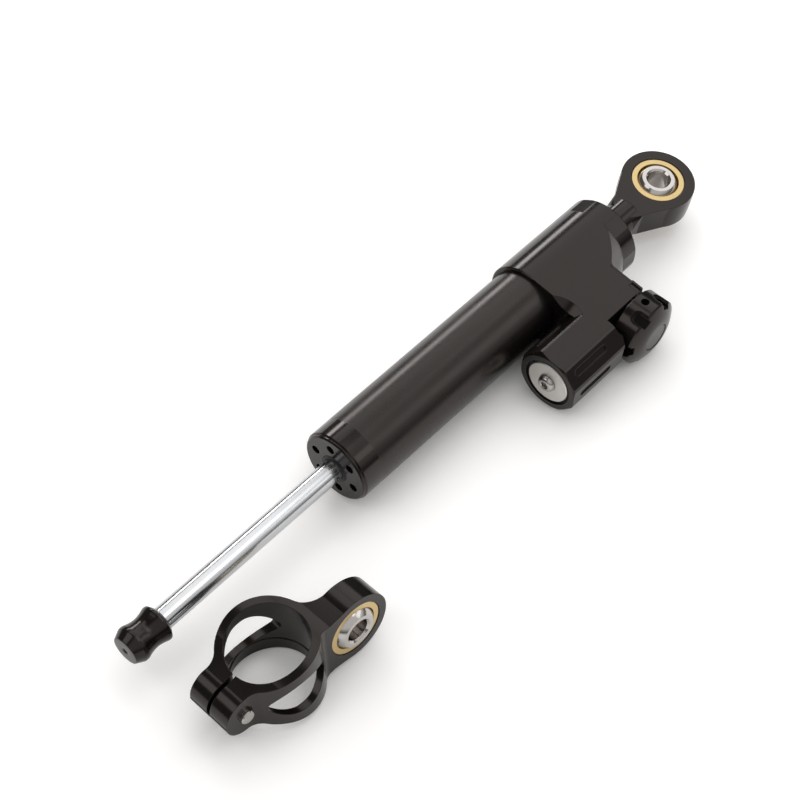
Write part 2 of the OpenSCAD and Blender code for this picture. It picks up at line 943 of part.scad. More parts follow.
// One grip flute: a wide shallow step and a deeper slot, both with a round inner end
module flute() {
    slot_w = 0.72 * flute_w;
    for (cut = [[flute_w, 0.4 * flute_depth, 0], [slot_w, flute_depth, 0.14 * flute_w]])
        translate([0, 0, knob_rim - flute_l + cut[2]])
            translate([knob_r - cut[1], 0, cut[0] / 2])
                rotate([0, 90, 0])
                    linear_extrude(cut[1] + over)
                        union() {
                            circle(cut[0] / 2);
                            translate([-knob_h, -cut[0] / 2])
                                square([knob_h, cut[0]]);
                        }
}

module adjuster_knob() {
    color(anodised)
        damper()
            on_knob(knob_y)
                difference() {
                    rotate_extrude()
                        polygon(concat(
                            [[spindle_r + fit, 0], [knob_r - cham, 0], [knob_r, cham], [knob_r, knob_rim]],
                            dome_points(),
                            [[cap_r + fit, knob_h], [cap_r + fit, cap_seat], [0, cap_seat],
                                [0, spindle_top], [spindle_r + fit, spindle_top]]
                        ));
                    for (i = [0 : flutes - 1])
                        rotate([0, 0, flute_phase + 360 / flutes * i])
                            flute();
                    rotate([0, 0, grub_turn])
                        translate([0, 0, grub_up])
                            rotate([0, 90, 0])
                                cylinder(r = grub_r + fit, h = knob_r + over);
                    for (i = [0 : detent_sides - 1])
                        rotate([0, 0, 90 + 360 / detent_sides * i])
                            translate([detent_up, 0, dimple - detent_r])
                                sphere(detent_r);
                }
}

module knob_cap() {
    color(anodised)
        damper()
            on_knob(knob_y + cap_seat)
                rotate_extrude()
                    polygon([
                        [0, 0], [cap_r, 0], [cap_r, cap_t - 0.25], [cap_r - 0.25, cap_t], [0, cap_t]
                    ]);
}

module knob_grub_screw() {
    grub_l = knob_r - grub_out - spindle_r - fit;
    color(steel)
        damper()
            on_knob(knob_y)
                rotate([0, 0, grub_turn])
                    translate([spindle_r + fit, 0, grub_up])
                        rotate([0, 90, 0])
                            difference() {
                                cylinder(r = grub_r, h = grub_l);
                                translate([0, 0, grub_l])
                                    hex_socket(grub_r, grub_r);
                            }
}

module detent_ball() {
    color(steel)
        damper()
            on_knob(knob_y - run - detent_r)
                translate([0, detent_up, 0])
                    sphere(detent_r);
}

// Coil spring under the detent ball, shown as the sleeve that its turns fill
module detent_spring() {
    spring_r = detent_r - 0.1;
    spring_h = knob_y - run - 2 * detent_r - (seat_y - detent_l);
    color(steel)
        damper()
            on_knob(seat_y - detent_l)
                translate([0, detent_up, 0])
                    difference() {
                        cylinder(r = spring_r, h = spring_h);
                        translate([0, 0, -over])
                            cylinder(r = spring_r - 0.5, h = spring_h + 2 * over);
                    }
}

// Rod, piston and the pieces on them

module rod() {
    groove_r = rod_r - clip_ring_cut;
    front = piston_x - clip_ring_t;
    back = piston_x + piston_l;
    point = 1;
    color(chrome)
        damper()
            turned([
                [0, rod_x], [rod_r - point, rod_x], [rod_r, rod_x + point], [rod_r, front],
                [groove_r, front], [groove_r, piston_x], [rod_r, piston_x], [rod_r, back],
                [groove_r, back], [groove_r, back + clip_ring_t], [rod_r, back + clip_ring_t],
                [rod_r, rod_end - point], [rod_r - point, rod_end], [0, rod_end]
            ]);
}

module piston() {
    groove_x = piston_x + (piston_l - ring_w) / 2;
    holes = 4;
    hole_r = 0.8;
    color(silver)
        damper()
            difference() {
                turned([
                    [rod_r + fit, piston_x], [piston_r - cham, piston_x], [piston_r, piston_x + cham],
                    [piston_r, groove_x], [bore_r - ring_t, groove_x],
                    [bore_r - ring_t, groove_x + ring_w], [piston_r, groove_x + ring_w],
                    [piston_r, piston_x + piston_l - cham], [piston_r - cham, piston_x + piston_l],
                    [rod_r + fit, piston_x + piston_l]
                ]);
                for (i = [0 : holes - 1])
                    rotate([360 / holes * i, 0, 0])
                        translate([piston_x - over, (rod_r + bore_r) / 2, 0])
                            rotate([0, 90, 0])
                                cylinder(r = hole_r, h = piston_l + 2 * over);
            }
}

module piston_ring() {
    groove_x = piston_x + (piston_l - ring_w) / 2;
    color(polymer)
        damper()
            ring_x(groove_x + run, ring_w - 2 * run, bore_r - run, bore_r - ring_t + run);
}

module piston_circlips() {
    out_r = rod_r + 1.2;
    in_r = rod_r - clip_ring_cut + fit;
    color(steel)
        damper()
            for (x = [piston_x - clip_ring_t, piston_x + piston_l])
                difference() {
                    ring_x(x, clip_ring_t, out_r, in_r);
                    translate([x - over, -rod_r / 2, 0])
                        cube([clip_ring_t + 2 * over, rod_r, 2 * rod_r]);
                }
}

// Hourglass spool: chamfered front, hollow waist, narrow rear shoulder
module end_spool() {
    face_r = 0.77 * spool_r;
    front_band = spool_front + 3;
    front_rim = front_band + 1.2;
    rear_rim = spool_back - 2;
    waist_l = rear_rim - front_rim;
    waist_drop = spool_r - spool_waist_r;
    steps = 10;
    waist = [for (i = [0 : steps])
        [spool_r - waist_drop * sin(180 * i / steps), rear_rim - waist_l * i / steps]];
    color(anodised)
        on_rod()
            difference() {
                turned(concat(
                    [[0, spool_front + 0.4], [0.8, spool_front + 0.4], [1.2, spool_front],
                        [face_r, spool_front], [spool_r, front_band], [spool_r, front_rim]],
                    [for (i = [len(waist) - 2 : -1 : 1]) waist[i]],
                    [[spool_r, rear_rim], [spool_r, spool_back - 1.1],
                        [face_r, spool_back], [0, spool_back]]
                ));
                translate([rod_x, 0, 0])
                    rotate([0, 90, 0])
                        cylinder(r = rod_r + fit, h = spool_l);
            }
}

// Eye and ball joints

// Neck of the eye, seen from above: it widens from the stem to the housing
module neck_outline() {
    tangent = atan2(stem_r, neck_x) + acos(neck_r / norm([stem_r, neck_x]));
    far = [neck_r * cos(tangent), neck_r * sin(tangent)];
    polygon([
        [-neck_x - neck_cone, stem_r], [-neck_x, stem_r], [-far[0], far[1]], [0, 0],
        [-far[0], -far[1]], [-neck_x, -stem_r], [-neck_x - neck_cone, -stem_r]
    ]);
}

module eye_solid() {
    face = eye_t / 2;
    steps = 6;
    sink = 0.1;
    rotate_extrude()
        polygon(concat(
            [[0, -face]],
            [for (i = [-steps : steps]) [eye_r - eye_bulge * (i / steps) ^ 2, face * i / steps]],
            [[0, face]]
        ));
    intersection() {
        translate([0, 0, -face])
            linear_extrude(eye_t)
                neck_outline();
        rotate([0, 90, 0])
            rotate_extrude()
                polygon([
                    [0, -stem_reach], [stem_r - sink, -stem_reach],
                    [stem_r - sink, -neck_x - neck_cone], [1.3 * stem_r, -neck_x],
                    [1.2 * eye_r, -0.5 * neck_x], [1.2 * eye_r, 0], [0, 0]
                ]);
    }
    translate([-stem_reach, 0, 0])
        rotate([0, 90, 0])
            rotate_extrude()
                polygon([
                    [0, 0], [stem_r - cham, 0], [stem_r, cham], [stem_r, stem_reach - neck_x],
                    [stem_r - 1, stem_reach - neck_x + 1], [0, stem_reach - neck_x + 1]
                ]);
}

module eye() {
    color(anodised)
        on_rod()
            translate([eye_reach, 0, 0])
                difference() {
                    eye_solid();
                    cylinder(r = race_r + fit, h = eye_t + 2 * over, center = true);
                    translate([-stem_reach - over, 0, 0])
                        rotate([0, 90, 0])
                            cylinder(r = rod_r + fit, h = thread_l + over);
                }
}

// Brass race with a spherical seat
module race(w) {
    difference() {
        ring_z(race_r, ball_r - race_lip, w, 0.3);
        sphere(ball_r + run);
    }
}

// Ball with flat ends and a countersunk bore
module ball() {
    sink = 0.7;
    difference() {
        intersection() {
            sphere(ball_r);
            cube([2 * ball_d, 2 * ball_d, ball_w], center = true);
        }
        cylinder(r = ball_bore_r, h = ball_w + 2 * over, center = true);
        for (side = [0, 180])
            rotate([side, 0, 0])
                translate([0, 0, ball_w / 2 - sink])
                    cylinder(r1 = ball_bore_r, r2 = ball_bore_r + sink + over, h = sink + over);
    }
}

module eye_race() {
    color(brass)
        on_rod()
            translate([eye_reach, 0, 0])
                race(race_w);
}

module eye_ball() {
    color(steel)
        on_rod()
            translate([eye_reach, 0, 0])
                ball();
}

// Tube clamp

// Places of the fillet centres, from the ring's circle and a side face at distance w
function fillet_x(w, r) = sqrt((clamp_r + r) ^ 2 - (w + r) ^ 2);

// Filled corner between the ring and a side face, rounded by a cylinder, on the side s = 1 or -1
module plan_corner(w, r, s, toward) {
    cx = toward * fillet_x(w, r);
    cw = w + r;
    sink = 0.12;
    touch = (clamp_r - sink) / (clamp_r + r);
    difference() {
        polygon([[0, 0], [cx * touch, -s * cw * touch], [cx, s * (sink - w)], [cx, s * (3 - w)]]);
        translate([cx, -s * cw])
            circle(r);
    }
}

// Shape from above: ring, pinch boss and lug, with concave corners
module clamp_plan() {
    tall = 2 * clamp_h;
    translate([0, 0, -clamp_h]) {
        cylinder(r = clamp_r, h = tall);
        translate([-boss_x - boss_r - over, -boss_w / 2, 0])
            cube([boss_x + boss_r + over, boss_w, tall]);
        translate([0, -lug_out, 0])
            cube([clamp_reach + lug_r + over, lug_t, tall]);
        linear_extrude(tall)
            plan_corner(boss_w / 2, boss_fillet, 1, -1);
        linear_extrude(tall)
            plan_corner(boss_w / 2, boss_fillet, -1, -1);
        linear_extrude(tall)
            plan_corner(lug_out, near_fillet, 1, 1);
        linear_extrude(tall)
            plan_corner(-lug_in, lug_fillet, -1, 1);
    }
}

// Arched middle of the ring, seen from the side; it ends at the lug's ball
module arch_outline() {
    drop = arch_r - clamp_h / 2;
    intersection() {
        translate([arch_mid, -drop])
            circle(arch_r);
        translate([arch_mid, drop])
            circle(arch_r);
        translate([-clamp_reach, -clamp_h])
            square([2 * clamp_reach, 2 * clamp_h]);
    }
}

// Shape from the side: arched ring between the round boss and the round lug
module clamp_side() {
    from = 2 * clamp_r;
    join_x = 10;
    join_h = 0.43 * clamp_h;
    boss_join = 8;
    boss_join_h = 0.4 * clamp_h;
    sink = 0.05;
    along_side(from, 2 * from)
        arch_outline();
    along_side(from, 2 * from)
        translate([-boss_x, 0])
            circle(boss_r);
    along_side(from, 2 * from)
        translate([clamp_reach, 0])
            circle(lug_r);
    along_side(from, 2 * from)
        polygon([
            [-boss_x, boss_r - sink], [-boss_join, boss_join_h], [-boss_join, -boss_join_h],
            [-boss_x, sink - boss_r]
        ]);
    along_side(from, 2 * from)
        polygon([
            [join_x, join_h], [clamp_reach, lug_r - sink], [clamp_reach, sink - lug_r],
            [join_x, -join_h]
        ]);
}

// Oval window through both sides of the ring: two wide arcs that run into two round ends
module clamp_window() {
    reach = clamp_r + over;
    wide_r = (win_end_x ^ 2 + win_half_h ^ 2 - win_end_r ^ 2) / (2 * (win_half_h - win_end_r));
    drop = wide_r - win_half_h;
    half = win_end_x * wide_r / (wide_r - win_end_r) - 0.3;
    along_side(reach, 2 * reach)
        intersection() {
            translate([0, drop])
                circle(wide_r);
            translate([0, -drop])
                circle(wide_r);
            square([2 * half, 2 * wide_r], center = true);
        }
    for (end = [-win_end_x, win_end_x])
        along_side(reach, 2 * reach)
            translate([end, 0])
                circle(win_end_r);
}

// A section drawn in X and Z, carried towards -Y from y = from
module along_side(from, l) {
    translate([0, from, 0])
        rotate([90, 0, 0])
            linear_extrude(l)
                children();
}

module clamp_ring() {
    color(anodised)
        on_clamp()
            difference() {
                intersection() {
                    clamp_plan();
                    clamp_side();
                }
                cylinder(r = tube_r + fit, h = 2 * clamp_h, center = true);
                cylinder(r = relief_r, h = 2 * relief_h, center = true);
                clamp_window();
                translate([-boss_x - boss_r - over, -slit_w / 2, -clamp_h])
                    cube([boss_x + boss_r, slit_w, 2 * clamp_h]);
                translate([-boss_x, boss_w / 2 + over, 0])
                    rotate([90, 0, 0])
                        cylinder(r = pinch_d / 2 + fit, h = boss_w + 2 * over);
                translate([-boss_x, boss_w / 2 + pinch_head_l, 0])
                    rotate([90, 0, 0])
                        cylinder(r = pinch_head_r + 0.2, h = pinch_head_l * 1.6);
                translate([clamp_reach, over - lug_in, 0])
                    rotate([90, 0, 0])
                        cylinder(r = race_r + fit, h = lug_t + 2 * over);
            }
}

// Axis of the clamp's ball, through the middle of the lug
module on_lug() {
    on_clamp()
        translate([clamp_reach, -(lug_in + lug_out) / 2, 0])
            rotate([90, 0, 0])
                children();
}

module clamp_race() {
    color(brass)
        on_lug()
            race(lug_t - 0.4);
}

module clamp_ball() {
    color(steel)
        on_lug()
            ball();
}

// Socket-head pinch screw: its head is sunk in the far side, its tip stands out on the near side
module clamp_screw() {
    sunk = 0.6 * pinch_head_l;
    shank_l = boss_w - sunk + pinch_out;
    tip = 0.4;
    color(steel)
        on_clamp()
            translate([-boss_x, boss_w / 2 - sunk, 0])
                rotate([90, 0, 0])
                    difference() {
                        rotate_extrude()
                            polygon([
                                [0, -pinch_head_l], [pinch_head_r - 0.3, -pinch_head_l],
                                [pinch_head_r, 0.3 - pinch_head_l], [pinch_head_r, 0],
                                [pinch_d / 2, 0], [pinch_d / 2, shank_l - tip],
                                [pinch_d / 2 - tip, shank_l], [0, shank_l]
                            ]);
                        translate([0, 0, -pinch_head_l])
                            rotate([180, 0, 0])
                                hex_socket(0.8 * pinch_d, 0.6 * pinch_d);
                    }
}

outer_tube();
inner_tube();
front_cap();
front_bush();
front_rod_seal();
front_wiper();
front_cap_oring();
head();
rear_guide();
rear_bush();
rear_rod_seal();
rear_wiper();
rear_guide_oring();
tube_oring();
reservoir_plug();
reservoir_plug_oring();
reservoir_circlip();
bleed_screw();
bleed_seal();
floating_piston();
floating_piston_oring();
reservoir_spring();
valve_gland();
valve_needle();
adjuster_spindle();
spindle_oring();
adjuster_knob();
knob_cap();
knob_grub_screw();
detent_ball();
detent_spring();
rod();
piston();
piston_ring();
piston_circlips();
end_spool();
eye();
eye_race();
eye_ball();
clamp_ring();
clamp_race();
clamp_ball();
clamp_screw();
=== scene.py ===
"""Motorcycle steering damper: finishes, turned pieces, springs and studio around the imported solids."""

import json
import math

import bpy
import numpy as np
from mathutils import Matrix, Vector

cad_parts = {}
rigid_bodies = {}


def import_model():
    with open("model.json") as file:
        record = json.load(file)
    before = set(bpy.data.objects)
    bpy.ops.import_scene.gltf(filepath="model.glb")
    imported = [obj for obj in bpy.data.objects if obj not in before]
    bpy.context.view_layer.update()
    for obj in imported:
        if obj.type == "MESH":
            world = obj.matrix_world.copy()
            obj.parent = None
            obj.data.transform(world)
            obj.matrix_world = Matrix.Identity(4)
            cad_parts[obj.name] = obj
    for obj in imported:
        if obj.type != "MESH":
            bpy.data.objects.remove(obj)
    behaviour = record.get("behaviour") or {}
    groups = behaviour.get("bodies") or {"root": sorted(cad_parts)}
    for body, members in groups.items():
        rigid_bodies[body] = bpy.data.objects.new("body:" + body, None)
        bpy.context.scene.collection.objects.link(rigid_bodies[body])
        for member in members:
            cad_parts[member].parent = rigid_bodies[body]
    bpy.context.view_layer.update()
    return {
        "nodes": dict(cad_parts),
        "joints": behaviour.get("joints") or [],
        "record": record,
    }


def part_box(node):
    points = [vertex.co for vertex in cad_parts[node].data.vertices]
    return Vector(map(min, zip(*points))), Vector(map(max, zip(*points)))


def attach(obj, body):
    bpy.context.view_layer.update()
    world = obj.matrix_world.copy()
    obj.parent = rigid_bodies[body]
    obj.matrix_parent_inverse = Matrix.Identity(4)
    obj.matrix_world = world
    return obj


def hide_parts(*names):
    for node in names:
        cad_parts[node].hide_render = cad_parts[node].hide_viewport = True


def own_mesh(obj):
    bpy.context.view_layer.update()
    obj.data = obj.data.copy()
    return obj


bl_info = {
    "name": "Motorcycle steering damper",
    "version": (1, 0, 0),
    "blender": (4, 5, 0),
    "location": "View3D > Sidebar > Damper",
    "description": "Finishes a packed steering damper and sets it in a light studio",
    "category": "Object",
}

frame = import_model()
SLOTS = {part["node"]: part["material_slot"] for part in frame["record"]["subparts"]}
BODIES = {node: made.parent.name.split(":", 1)[1] for node, made in frame["nodes"].items()}
MM = 0.001


# Settings


class DamperFinish(bpy.types.PropertyGroup):
    """Colours and gloss of the damper's surfaces."""

    anodised: bpy.props.StringProperty(
        name="Anodised black", description="Dyed oxide layer, sRGB hex", default="#120f0e"
    )
    worn: bpy.props.StringProperty(
        name="Worn edge", description="Thin oxide along the edges, sRGB hex", default="#37312e"
    )
    tube_rough: bpy.props.FloatProperty(
        name="Tube roughness", description="Satin gloss of the drawn tube",
        default=0.27, min=0.0, max=1.0, subtype="FACTOR",
    )
    band: bpy.props.FloatProperty(
        name="Glossy band", description="Length of the glossier band at the tube's front end",
        default=8.3 * MM, min=0.0, unit="LENGTH",
    )
    milled_rough: bpy.props.FloatProperty(
        name="Milled roughness", description="Brighter gloss of the turned and milled pieces",
        default=0.17, min=0.0, max=1.0, subtype="FACTOR",
    )
    chrome: bpy.props.StringProperty(
        name="Hard chrome", description="Chrome plating, sRGB hex", default="#cfd0d2"
    )
    brass: bpy.props.StringProperty(
        name="Brass", description="Turned brass, sRGB hex", default="#d9c08b"
    )
    steel: bpy.props.StringProperty(
        name="Bearing steel", description="Polished bearing steel, sRGB hex", default="#c9c4c0"
    )


class DamperSprings(bpy.types.PropertyGroup):
    """Wire and turns of the springs."""

    wire: bpy.props.FloatProperty(
        name="Spring wire", description="Wire of the side chamber's spring",
        default=1.2 * MM, min=0.0, unit="LENGTH",
    )
    turns: bpy.props.FloatProperty(
        name="Spring turns", description="Turns of the side chamber's spring", default=4.5, min=2
    )
    detent_wire: bpy.props.FloatProperty(
        name="Detent wire", description="Wire of the detent's spring",
        default=0.4 * MM, min=0.0, unit="LENGTH",
    )
    detent_turns: bpy.props.FloatProperty(
        name="Detent turns", description="Turns of the detent's spring", default=6, min=2
    )


class DamperStage(bpy.types.PropertyGroup):
    """Camera, floor and surroundings."""

    camera_at: bpy.props.FloatVectorProperty(
        name="Camera", description="Place of the camera", size=3,
        default=(-0.42807, -0.25559, 0.48063), subtype="TRANSLATION", unit="LENGTH",
    )
    camera_view: bpy.props.FloatVectorProperty(
        name="View", description="Direction that the camera looks in", size=3,
        default=(0.4677, 0.4192, -0.7782), subtype="DIRECTION",
    )
    lens: bpy.props.FloatProperty(
        name="Lens", description="Focal length in mm on a 36 mm sensor", default=81.94, min=10
    )
    floor_colour: bpy.props.StringProperty(
        name="Floor", description="Matt white floor, sRGB hex", default="#e8e6e4"
    )
    floor_glow: bpy.props.FloatProperty(
        name="Floor glow", description="Brightness that brings the floor to white for the camera",
        default=0.44, min=0,
    )
    # Painted light: a glow on the floor near the damper, fading with distance, that only reflections show
    floor_painted_light: bpy.props.FloatProperty(
        name="Floor sheet", description="Brightness of the floor near the damper that the gloss shows",
        default=0.3, min=0,
    )
    # Painted shadow: the reach of the ambient occlusion that darkens the floor's glow around and under
    # the damper
    floor_painted_shadow: bpy.props.FloatProperty(
        name="Floor shade", description="How far the damper dims the floor's glow",
        default=50 * MM, min=0.0, unit="LENGTH",
    )
    ambient: bpy.props.FloatProperty(
        name="Ambient", description="Strength of the studio's soft fill", default=0.5, min=0
    )
    room: bpy.props.FloatProperty(
        name="Room", description="Brightness of the room that the gloss shows", default=0.1, min=0
    )
    right_wall: bpy.props.FloatProperty(
        name="Right wall", description="Brightness of the pale wall on the right", default=0.7, min=0
    )


# Helpers for materials

NOISE_LOW, NOISE_HIGH = 0.3, 0.7  # most of a noise's values lie between these
BUMP_DEPTH = 0.02 * MM
EDGE_SAMPLES = 6
ANODISED_EDGE, METAL_EDGE = 0.3 * MM, 0.15 * MM  # radius that sharp edges are broken to
DYE_CLOUD, WEAR_PATCH, METAL_CLOUD = 14, 3, 5  # cells of uneven tone and wear, in mm
SHEEN = (1.0, 0.88, 0.83, 1.0)  # warm tint of the oxide's gloss
BAND_BLEND, BAND_SHARE = 0.3 * MM, 0.55  # the band's soft end, and its share of the tube's roughness


def linear(hex_colour):
    """Turns an sRGB hex value into linear RGBA."""
    channels = [int(hex_colour[i : i + 2], 16) / 255 for i in (1, 3, 5)]
    return [c / 12.92 if c <= 0.04045 else ((c + 0.055) / 1.055) ** 2.4 for c in channels] + [1]


def shaded(colour, share):
    """A linear colour made darker or lighter by a share."""
    return [channel * share for channel in colour[:3]] + [1]


def add(tree, kind, settings=(), **inputs):
    """Adds one node: settings are its attributes, inputs are values or sockets to link.

    An input is named by its socket's name, or by i and the socket's number.
    """
    made = tree.nodes.new(kind)
    for name, value in dict(settings).items():
        setattr(made, name, value)
    for name, value in inputs.items():
        key = int(name[1:]) if name[1:].isdigit() else name.replace("_", " ")
        if isinstance(value, bpy.types.NodeSocket):
            tree.links.new(value, made.inputs[key])
        else:
            made.inputs[key].default_value = value
    return made


def new_material(name):
    """An empty node material, ready for a shader."""
    made = bpy.data.materials.new(name)
    made.use_nodes = True
    made.node_tree.nodes.clear()
    return made, made.node_tree


def pattern(tree, size, detail=3.0, low=None, high=None):
    """Noise over Object coordinates in cells of a size in mm, one value or three.

    Where low and high are given, the noise is stretched to run between them.
    """
    place = add(tree, "ShaderNodeTexCoord").outputs["Object"]
    cells = size if isinstance(size, tuple) else (size,) * 3
    scale = [1 / (cell * MM) for cell in cells]
    point = add(tree, "ShaderNodeVectorMath", {"operation": "MULTIPLY"}, i0=place, i1=scale)
    noise = add(tree, "ShaderNodeTexNoise", i0=point.outputs[0], Scale=1.0, Detail=detail).outputs[0]
    if low is None:
        return noise
    return add(
        tree, "ShaderNodeMapRange", Value=noise, i1=NOISE_LOW, i2=NOISE_HIGH, i3=low, i4=high
    ).outputs[0]


def edge_mask(tree, soft):
    """Rises from 0 on open faces to 1 along broken edges, where the soft normal leaves the true one."""
    true = add(tree, "ShaderNodeNewGeometry").outputs["Normal"]
    match = add(tree, "ShaderNodeVectorMath", {"operation": "DOT_PRODUCT"}, i0=soft, i1=true)
    return add(
        tree, "ShaderNodeMapRange", Value=match.outputs["Value"], i1=0.995, i2=0.9, i3=0.0, i4=1.0
    ).outputs[0]


def anodised_material(name, finish, rough, grain, level, band_end=None):
    """Black anodised aluminium: dyed, sealed oxide with a warm sheen, a little thin along its edges.

    The grain, in mm, is drawn coarser than the real one, so that it shows. Up to band_end along X
    the surface is glossier.
    """
    made, tree = new_material(name)
    base = linear(finish.anodised)
    tone = add(
        tree, "ShaderNodeMix", {"data_type": "RGBA"}, Factor=pattern(tree, DYE_CLOUD, 2.0),
        i6=shaded(base, 0.8), i7=shaded(base, 1.25),
    )
    soft = add(tree, "ShaderNodeBevel", {"samples": EDGE_SAMPLES}, Radius=ANODISED_EDGE).outputs[0]
    worn = add(
        tree, "ShaderNodeMath", {"operation": "MULTIPLY"}, i0=edge_mask(tree, soft),
        i1=pattern(tree, WEAR_PATCH, low=0.1, high=0.5),
    )
    colour = add(
        tree, "ShaderNodeMix", {"data_type": "RGBA"}, Factor=worn.outputs[0],
        i6=tone.outputs[2], i7=linear(finish.worn),
    )
    bump = add(
        tree, "ShaderNodeBump", Strength=0.05, Distance=BUMP_DEPTH,
        Height=pattern(tree, grain), Normal=soft,
    )
    gloss = pattern(tree, DYE_CLOUD, 2.0, rough * 0.9, rough * 1.12)
    if band_end is not None:
        place = add(tree, "ShaderNodeTexCoord").outputs["Object"]
        along = add(tree, "ShaderNodeSeparateXYZ", i0=place).outputs[0]
        share = add(
            tree, "ShaderNodeMapRange", Value=along,
            i1=band_end - BAND_BLEND, i2=band_end, i3=BAND_SHARE, i4=1.0,
        )
        gloss = add(
            tree, "ShaderNodeMath", {"operation": "MULTIPLY"}, i0=gloss, i1=share.outputs[0]
        ).outputs[0]
    shader = add(
        tree, "ShaderNodeBsdfPrincipled", Base_Color=colour.outputs[2], Roughness=gloss,
        Normal=bump.outputs[0], Specular_IOR_Level=level, Specular_Tint=SHEEN,
    )
    add(tree, "ShaderNodeOutputMaterial", Surface=shader.outputs[0])
    return made


def metal_material(name, colour, rough, grain, bump=0.0):
    """Bare or plated metal, a little uneven in tone, with a turned, ground or drawn grain.

    The grain, in mm, is drawn coarser than the real one, so that it shows.
    """
    made, tree = new_material(name)
    base = linear(colour)
    tone = add(
        tree, "ShaderNodeMix", {"data_type": "RGBA"}, Factor=pattern(tree, METAL_CLOUD, 2.0),
        i6=shaded(base, 0.9), i7=base,
    )
    soft = add(tree, "ShaderNodeBevel", {"samples": EDGE_SAMPLES}, Radius=METAL_EDGE).outputs[0]
    bumped = add(
        tree, "ShaderNodeBump", Strength=bump, Distance=BUMP_DEPTH,
        Height=pattern(tree, grain), Normal=soft,
    )
    shader = add(
        tree, "ShaderNodeBsdfPrincipled", Base_Color=tone.outputs[2], Metallic=1.0,
        Roughness=pattern(tree, grain, low=rough * 0.8, high=rough * 1.2), Normal=bumped.outputs[0],
    )
    add(tree, "ShaderNodeOutputMaterial", Surface=shader.outputs[0])
    return made


def rubber_material():
    """Nitrile rubber: moulded, matt black with a fine bloom, whose grain of 0.8 mm is drawn coarse."""
    made, tree = new_material("nitrile_rubber")
    bloom = 0.8
    noise = pattern(tree, bloom, 2.0)
    tone = add(
        tree, "ShaderNodeMix", {"data_type": "RGBA"}, Factor=noise,
        i6=linear("#0b0a0a"), i7=linear("#161414"),
    )
    bump = add(tree, "ShaderNodeBump", Strength=0.1, Distance=BUMP_DEPTH, Height=noise)
    shader = add(
        tree, "ShaderNodeBsdfPrincipled", Base_Color=tone.outputs[2],
        Roughness=pattern(tree, bloom, 2.0, 0.5, 0.7), Normal=bump.outputs[0],
    )
    add(tree, "ShaderNodeOutputMaterial", Surface=shader.outputs[0])
    return made


class DAMPER_OT_finishes(bpy.types.Operator):
    """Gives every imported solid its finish"""

    bl_idname = "damper.finishes"
    bl_label = "Finish the solids"

    def execute(self, context):
        finish = context.scene.damper_finish
        # Drawn tube, blasted and anodised: a satin black whose lamp stripes are soft
        band_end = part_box("outer_tube")[0][0] + finish.band
        drawn = anodised_material(
            "black_anodised_tube", finish, finish.tube_rough, (6.0, 0.5, 0.5), 0.5, band_end
        )
        slots = {
            # Turned and milled, then anodised: a deeper black whose lamp edges are sharper
            "black_anodised": anodised_material(
                "black_anodised_milled", finish, finish.milled_rough, 0.3, 0.4
            ),
            # Ground and polished along the rod: a mirror that is drawn out lengthwise
            "hard_chrome": metal_material("hard_chrome", finish.chrome, 0.2, (40.0, 0.4, 0.4)),
            # Lapped ball: a nearly clear mirror
            "polished_steel": metal_material("polished_bearing_steel", finish.steel, 0.16, 0.6, 0.04),
            # Turned screw: bright and slightly clouded
            "stainless_steel": metal_material("bright_stainless_steel", "#b9b6b1", 0.25, 0.4, 0.1),
            # Drawn wire under oil: dark grey
            "spring_steel": metal_material("oiled_spring_steel", "#6d6f72", 0.35, 1.0),
            # Blackened ring and grub screw: nearly matt
            "black_oxide_steel": metal_material("black_oxide_steel", "#1c1b1b", 0.45, 0.8),
            # Turned race: warm, satin
            "brass": metal_material("turned_brass", finish.brass, 0.36, 0.4, 0.15),
            # Pressed from powder: brown, dull
            "bearing_bronze": metal_material("sintered_bronze", "#8c6f3c", 0.45, 0.5),
            # Faced on the lathe: pale, with a soft sheen
            "satin_aluminium": metal_material("satin_aluminium", "#dcd9d4", 0.42, 0.3, 0.2),
            # Moulded seals: matt black
            "black_rubber": rubber_material(),
            # Sliding ring filled with bronze powder: dark brown, with a dull metal sheen
            "ptfe": metal_material("bronze_filled_ptfe", "#3d2f24", 0.6, 0.5),
        }
        for node, made in frame["nodes"].items():
            made.data.materials.clear()
            made.data.materials.append(drawn if node == "outer_tube" else slots[SLOTS[node]])
        return {"FINISHED"}


# Helpers for pieces


def new_piece(name, mesh, node):
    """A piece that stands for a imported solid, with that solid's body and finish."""
    made = bpy.data.objects.new(name, mesh)
    bpy.context.scene.collection.objects.link(made)
    mesh.materials.append(frame["nodes"][node].data.materials[0])
    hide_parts(node)
    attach(made, BODIES[node])
    return made


def grid_mesh(name, points):
    """A closed skin over rows of points: each row is a loop, and the two ends close on a pole."""
    rows, count = points.shape[:2]
    verts = np.vstack([points.reshape(-1, 3), points[0].mean(0), points[-1].mean(0)])
    index = np.arange(rows * count).reshape(rows, count)
    around = np.roll(index, -1, axis=1)
    quads = np.stack([index[:-1], around[:-1], around[1:], index[1:]], axis=-1).reshape(-1, 4)
    first = np.stack([around[0], index[0], np.full(count, rows * count)], axis=-1)
    last = np.stack([index[-1], around[-1], np.full(count, rows * count + 1)], axis=-1)
    mesh = bpy.data.meshes.new(name)
    mesh.from_pydata(verts.tolist(), [], quads.tolist() + first.tolist() + last.tolist())
    mesh.shade_smooth()
    mesh.update()
    return mesh


def round_corners(corners, radius, steps=5):
    """Replaces the inner corners of a profile by curves.

    Each curve is a parabola that leaves the two legs at the radius from the corner, or at 0.45 of
    the shorter leg.
    """
    corners = np.asarray(corners, float)
    out = [corners[:1]]
    t = np.linspace(0, 1, steps)[:, None]
    for before, here, after in zip(corners[:-2], corners[1:-1], corners[2:]):
        legs = [before - here, after - here]
        room = min(radius, 0.45 * min(np.linalg.norm(leg) for leg in legs))
        start, end = (here + leg / np.linalg.norm(leg) * room for leg in legs)
        out.append((1 - t) ** 2 * start + 2 * t * (1 - t) * here + t**2 * end)
    return np.vstack(out + [corners[-1:]])


